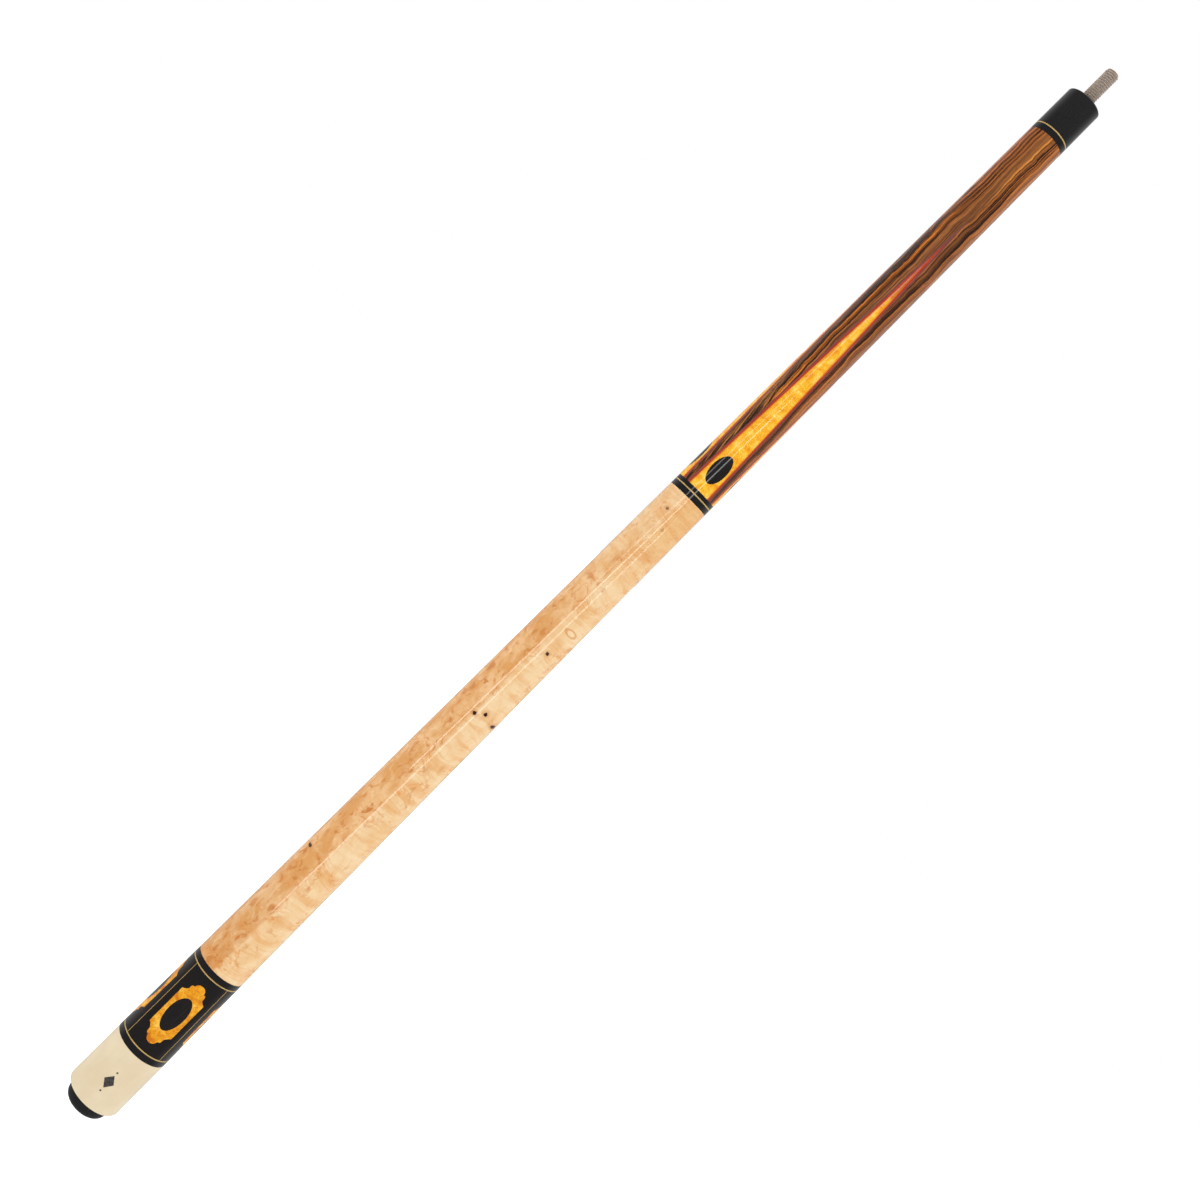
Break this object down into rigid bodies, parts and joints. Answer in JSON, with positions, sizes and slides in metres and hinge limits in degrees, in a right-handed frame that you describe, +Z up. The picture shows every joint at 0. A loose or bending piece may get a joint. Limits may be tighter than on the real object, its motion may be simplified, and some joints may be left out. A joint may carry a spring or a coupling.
{
  "type": "pool cue",
  "caption": "Butt section of a pool cue: tapered, with spliced points, an inlaid butt sleeve, trim rings, a threaded joint pin and a rubber bumper held by a screw.",
  "frame": {"origin": "centre of the bumper's foot, on the surface that the cue stands on", "axes": "+Z up the cue's axis towards the joint pin; -Y is the side with the mark on the butt cap, the first point and the first sleeve window"},
  "size_m": [0.0322, 0.0322, 0.7675],
  "materials": {
    "pin_steel": "machined thread, satin",
    "collar_black": "polished phenolic",
    "ring_gold": "polished, thin rings under lacquer",
    "ring_black": "polished phenolic",
    "forearm_wood": "striped rosewood, gloss lacquer",
    "point_maple": "amber curly maple, gloss lacquer",
    "veneer_red": "dyed red veneer, gloss lacquer",
    "veneer_plum": "dyed purple-brown veneer, gloss lacquer",
    "oval_black": "ebony inlay, gloss lacquer",
    "handle_maple": "birdseye maple, gloss lacquer",
    "sleeve_black": "black sleeve, gloss lacquer",
    "window_burl": "amber burl inlay, gloss lacquer",
    "line_gold": "thin gold line inlays under lacquer",
    "cap_ivory": "ivory-coloured, polished",
    "mark_black": "flush inlay",
    "insert_brass": "turned",
    "hardware_steel": "zinc plated",
    "screw_steel": "black oxide",
    "bumper_rubber": "moulded, satin"
  },
  "bodies": {
    "butt": {"joint_pin": "pin_steel", "joint_collar": "collar_black", "joint_ring_gold": "ring_gold", "joint_ring_black": "ring_black", "forearm": "forearm_wood", "wrist_ring_black_upper": "ring_black", "wrist_ring_gold": "ring_gold", "wrist_ring_black_lower": "ring_black", "wrist_stud": "hardware_steel", "handle": "handle_maple", "handle_ring_black": "ring_black", "handle_ring_gold": "ring_gold", "butt_sleeve": "sleeve_black", "cap_ring_gold": "ring_gold", "cap_ring_black": "ring_black", "butt_cap": "cap_ivory", "cap_mark": "mark_black", "butt_insert": "insert_brass", "point_1": "point_maple", "inner_veneer_1": "veneer_red", "outer_veneer_1": "veneer_plum", "point_oval_1": "oval_black", "sleeve_window_1": "window_burl", "sleeve_oval_1": "oval_black", "sleeve_line_1": "line_gold", "point_2": "point_maple", "inner_veneer_2": "veneer_red", "outer_veneer_2": "veneer_plum", "point_oval_2": "oval_black", "sleeve_window_2": "window_burl", "sleeve_oval_2": "oval_black", "sleeve_line_2": "line_gold", "point_3": "point_maple", "inner_veneer_3": "veneer_red", "outer_veneer_3": "veneer_plum", "point_oval_3": "oval_black", "sleeve_window_3": "window_burl", "sleeve_oval_3": "oval_black", "sleeve_line_3": "line_gold", "point_4": "point_maple", "inner_veneer_4": "veneer_red", "outer_veneer_4": "veneer_plum", "point_oval_4": "oval_black", "sleeve_window_4": "window_burl", "sleeve_oval_4": "oval_black", "sleeve_line_4": "line_gold"},
    "bumper": {"bumper": "bumper_rubber", "bumper_washer": "hardware_steel"},
    "bumper_screw": {"bumper_screw": "screw_steel"},
    "weight_bolt": {"weight_bolt": "hardware_steel"}
  },
  "joints": [
    {"name": "bumper_slide", "type": "slide", "parent": "butt", "child": "bumper", "axis": [0, 0, -1], "range_m": [0, 0.01142]},
    {"name": "bumper_screw_turn", "type": "hinge", "parent": "bumper", "child": "bumper_screw", "pos_m": [0, 0, 0], "axis": [0, 0, -1], "range_deg": [0, 3245]},
    {"name": "weight_bolt_travel", "type": "slide", "parent": "butt", "child": "weight_bolt", "axis": [0, 0, 1], "range_m": [0, 0.0275]}
  ],
  "couplings": [
    {"joint": "bumper_screw_turn", "follows": "bumper_slide", "rad_per_m": 4947.4}
  ]
}
